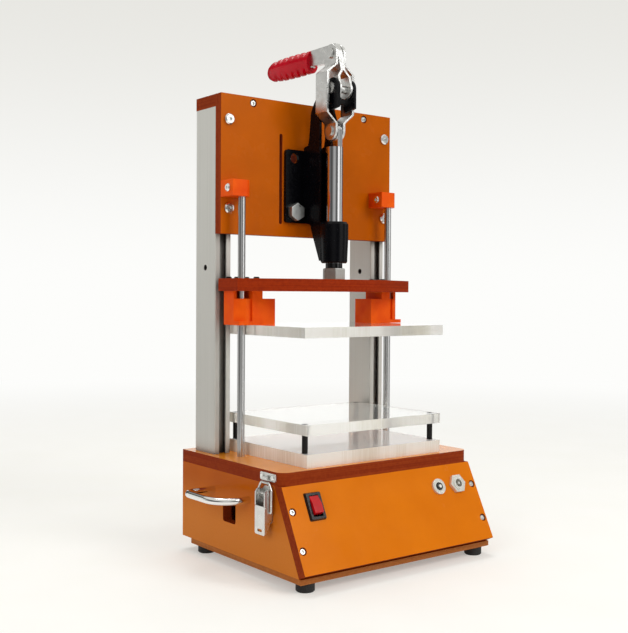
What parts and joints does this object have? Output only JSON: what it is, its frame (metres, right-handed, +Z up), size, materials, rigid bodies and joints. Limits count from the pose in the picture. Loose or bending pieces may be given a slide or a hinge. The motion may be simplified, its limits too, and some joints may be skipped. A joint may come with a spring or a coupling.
{
  "type": "pcb test fixture",
  "caption": "Bench press for testing circuit boards: a sloping-front box, two columns and a toggle clamp that lowers a guided clear plate onto a lower clear plate.",
  "frame": {"origin": "on the floor, under the middle of the whole object's width and depth", "axes": "+Z up, +X to the right seen from the front, +Y to the rear"},
  "size_m": [0.2504, 0.1854, 0.42],
  "materials": {
    "laminate": "glossy phenolic sheet with dark cut edges",
    "panel": "glossy phenolic sheet",
    "printed": "printed plastic with fine layers",
    "column_metal": "satin anodised",
    "steel_screw": "bright zinc",
    "dark_screw": "black oxide",
    "rod_steel": "ground and polished",
    "bearing_steel": "ground",
    "clamp_black": "gloss black",
    "zinc": "zinc plated",
    "grip_red": "soft moulded sleeve",
    "acrylic": "clear sheet",
    "black_rubber": "matt",
    "black_plastic": "moulded",
    "red_plastic": "moulded",
    "lens": "clear red",
    "chrome": "polished"
  },
  "bodies": {
    "base": {"bottom_plate": "laminate", "rubber_feet": "black_rubber", "foot_screws": "steel_screw", "side_panel_left": "laminate", "side_panel_right": "laminate", "back_panel": "laminate", "front_panel": "panel", "panel_screws": "steel_screw", "switch_housing": "black_plastic", "lamp_bezel": "chrome", "lamp_lens": "lens", "power_jack": "chrome", "panel_nuts": "chrome", "carry_handles": "chrome", "carry_handle_screws": "steel_screw", "latch_bases": "zinc", "latch_screws": "steel_screw", "pivot_pins": "zinc", "hinge_base_leaves": "zinc"},
    "rocker": {"switch_rocker": "red_plastic"},
    "latch_left": {"latch_lever_left": "zinc"},
    "latch_right": {"latch_lever_right": "zinc"},
    "bail_left": {"latch_bail_left": "zinc"},
    "bail_right": {"latch_bail_right": "zinc"},
    "lid": {"deck_plate": "panel", "hinge_lid_leaves": "zinc", "latch_catches": "zinc", "catch_screws": "steel_screw", "columns": "column_metal", "top_cap": "laminate", "cap_screws": "steel_screw", "head_plate": "laminate", "head_screws": "steel_screw", "slot_nuts": "steel_screw", "rod_clamps": "printed", "rod_clamp_screws": "steel_screw", "guide_rods": "rod_steel", "clamp_body": "clamp_black", "clamp_pivot_pin": "zinc", "clamp_bolts": "zinc", "probe_plate": "acrylic", "plate_standoffs": "dark_screw", "carrier_plate": "acrylic", "carrier_screws": "dark_screw", "deck_screws": "steel_screw"},
    "press": {"plunger": "rod_steel", "plunger_nut": "zinc", "press_platen": "panel", "guide_bracket_left": "printed", "guide_bracket_right": "printed", "linear_bearings": "bearing_steel", "bracket_screws": "dark_screw", "pressure_plate": "acrylic", "pressure_screws": "dark_screw"},
    "lever": {"lever_plate_left": "zinc", "lever_plate_right": "zinc", "lever_grip": "grip_red"},
    "links": {"toggle_link_left": "zinc", "toggle_link_right": "zinc", "link_rivets": "zinc"}
  },
  "joints": [
    {"name": "rocker_tilt", "type": "hinge", "parent": "base", "child": "rocker", "pos_m": [-0.072, -0.06962, 0.05666], "axis": [1, 0, 0], "range_deg": [0, 20]},
    {"name": "latch_left_swing", "type": "hinge", "parent": "base", "child": "latch_left", "pos_m": [-0.1011, -0.04775, 0.0668], "axis": [0, 1, 0], "range_deg": [0, 100]},
    {"name": "latch_right_swing", "type": "hinge", "parent": "base", "child": "latch_right", "pos_m": [0.1011, -0.04775, 0.0668], "axis": [0, -1, 0], "range_deg": [0, 100]},
    {"name": "bail_left_swing", "type": "hinge", "parent": "latch_left", "child": "bail_left", "pos_m": [-0.0999, -0.04775, 0.0533], "axis": [0, 1, 0], "range_deg": [-100, 0]},
    {"name": "bail_right_swing", "type": "hinge", "parent": "latch_right", "child": "bail_right", "pos_m": [0.0999, -0.04775, 0.0533], "axis": [0, -1, 0], "range_deg": [-100, 0]},
    {"name": "lid_hinge", "type": "hinge", "parent": "base", "child": "lid", "pos_m": [0, 0.07975, 0.073], "axis": [-1, 0, 0], "range_deg": [0, 75]},
    {"name": "lever_swing", "type": "hinge", "parent": "lid", "child": "lever", "pos_m": [0, -0.00965, 0.3805], "axis": [1, 0, 0], "range_deg": [0, 200.31]},
    {"name": "link_fold", "type": "hinge", "parent": "lever", "child": "links", "pos_m": [0, -0.00225, 0.4106], "axis": [1, 0, 0], "range_deg": [-196.81, 0]},
    {"name": "press_slide", "type": "slide", "parent": "lid", "child": "press", "axis": [0, 0, -1], "range_m": [0, 0.0608]}
  ],
  "couplings": [
    {"joint": "link_fold", "follows": "lever_swing", "ratio": -0.98249},
    {"joint": "press_slide", "follows": "lever_swing", "m_per_rad": 0.017387},
    {"joint": "bail_left_swing", "follows": "latch_left_swing", "ratio": -1},
    {"joint": "bail_right_swing", "follows": "latch_right_swing", "ratio": -1}
  ]
}
